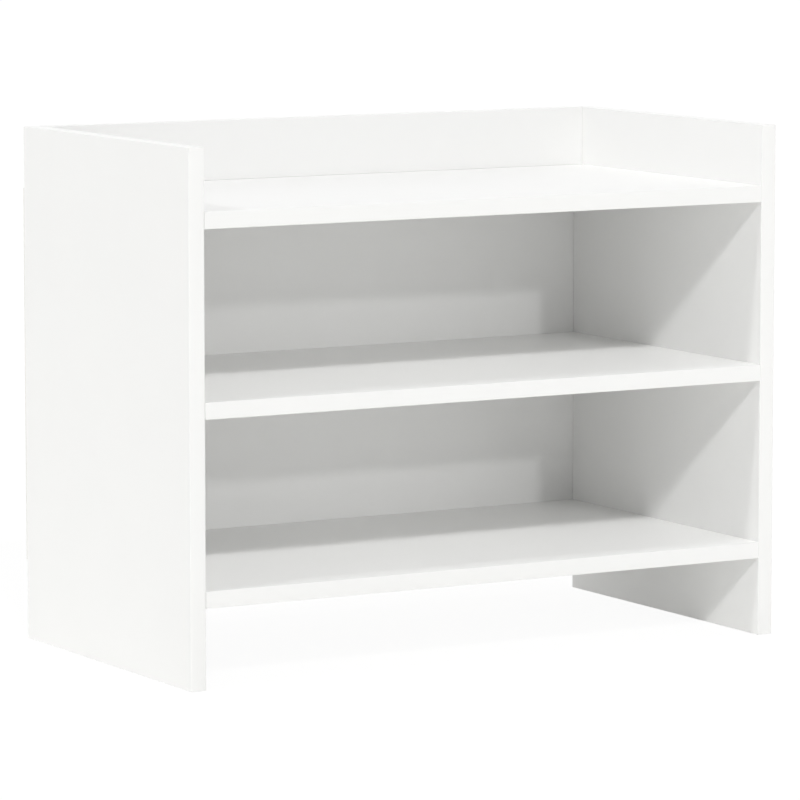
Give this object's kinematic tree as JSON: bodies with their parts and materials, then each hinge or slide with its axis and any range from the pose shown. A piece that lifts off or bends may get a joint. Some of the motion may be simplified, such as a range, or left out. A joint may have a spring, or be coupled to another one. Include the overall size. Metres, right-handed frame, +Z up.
{
  "type": "desk hutch",
  "caption": "White open desk hutch of laminated board: side panels that stand as feet, fixed shelves, an open tray with a rear rail on top and a thin back panel.",
  "frame": {"origin": "middle of the overall box, on the ground plane under the side panels", "axes": "+X along the shelves to the viewer's right, -Y towards the open front, +Z up"},
  "size_m": [0.6, 0.324, 0.467],
  "materials": {
    "white_board": "white satin laminate on chipboard",
    "white_hardboard": "matt white facing on hardboard",
    "cast_zinc": "bare zinc casting",
    "plated_steel": "bright zinc plating",
    "beech": "raw wood"
  },
  "bodies": {
    "root": {"left_side_panel": "white_board", "right_side_panel": "white_board", "top_shelf": "white_board", "middle_shelf": "white_board", "bottom_shelf": "white_board", "rear_rail": "white_board", "back_panel": "white_hardboard", "bottom_shelf_left_front_cam_lock": "cast_zinc", "bottom_shelf_left_front_cam_bolt": "plated_steel", "bottom_shelf_left_front_dowel": "beech", "bottom_shelf_left_rear_cam_lock": "cast_zinc", "bottom_shelf_left_rear_cam_bolt": "plated_steel", "bottom_shelf_left_rear_dowel": "beech", "middle_shelf_left_front_cam_lock": "cast_zinc", "middle_shelf_left_front_cam_bolt": "plated_steel", "middle_shelf_left_front_dowel": "beech", "middle_shelf_left_rear_cam_lock": "cast_zinc", "middle_shelf_left_rear_cam_bolt": "plated_steel", "middle_shelf_left_rear_dowel": "beech", "top_shelf_left_front_cam_lock": "cast_zinc", "top_shelf_left_front_cam_bolt": "plated_steel", "top_shelf_left_front_dowel": "beech", "top_shelf_left_rear_cam_lock": "cast_zinc", "top_shelf_left_rear_cam_bolt": "plated_steel", "top_shelf_left_rear_dowel": "beech", "rear_rail_left_cam_lock": "cast_zinc", "rear_rail_left_cam_bolt": "plated_steel", "rear_rail_left_dowel": "beech", "bottom_shelf_left_nail": "plated_steel", "middle_shelf_left_nail": "plated_steel", "top_shelf_left_nail": "plated_steel", "left_side_lower_nail": "plated_steel", "left_side_upper_nail": "plated_steel", "bottom_shelf_right_front_cam_lock": "cast_zinc", "bottom_shelf_right_front_cam_bolt": "plated_steel", "bottom_shelf_right_front_dowel": "beech", "bottom_shelf_right_rear_cam_lock": "cast_zinc", "bottom_shelf_right_rear_cam_bolt": "plated_steel", "bottom_shelf_right_rear_dowel": "beech", "middle_shelf_right_front_cam_lock": "cast_zinc", "middle_shelf_right_front_cam_bolt": "plated_steel", "middle_shelf_right_front_dowel": "beech", "middle_shelf_right_rear_cam_lock": "cast_zinc", "middle_shelf_right_rear_cam_bolt": "plated_steel", "middle_shelf_right_rear_dowel": "beech", "top_shelf_right_front_cam_lock": "cast_zinc", "top_shelf_right_front_cam_bolt": "plated_steel", "top_shelf_right_front_dowel": "beech", "top_shelf_right_rear_cam_lock": "cast_zinc", "top_shelf_right_rear_cam_bolt": "plated_steel", "top_shelf_right_rear_dowel": "beech", "rear_rail_right_cam_lock": "cast_zinc", "rear_rail_right_cam_bolt": "plated_steel", "rear_rail_right_dowel": "beech", "bottom_shelf_right_nail": "plated_steel", "middle_shelf_right_nail": "plated_steel", "top_shelf_right_nail": "plated_steel", "right_side_lower_nail": "plated_steel", "right_side_upper_nail": "plated_steel"}
  },
  "joints": []
}
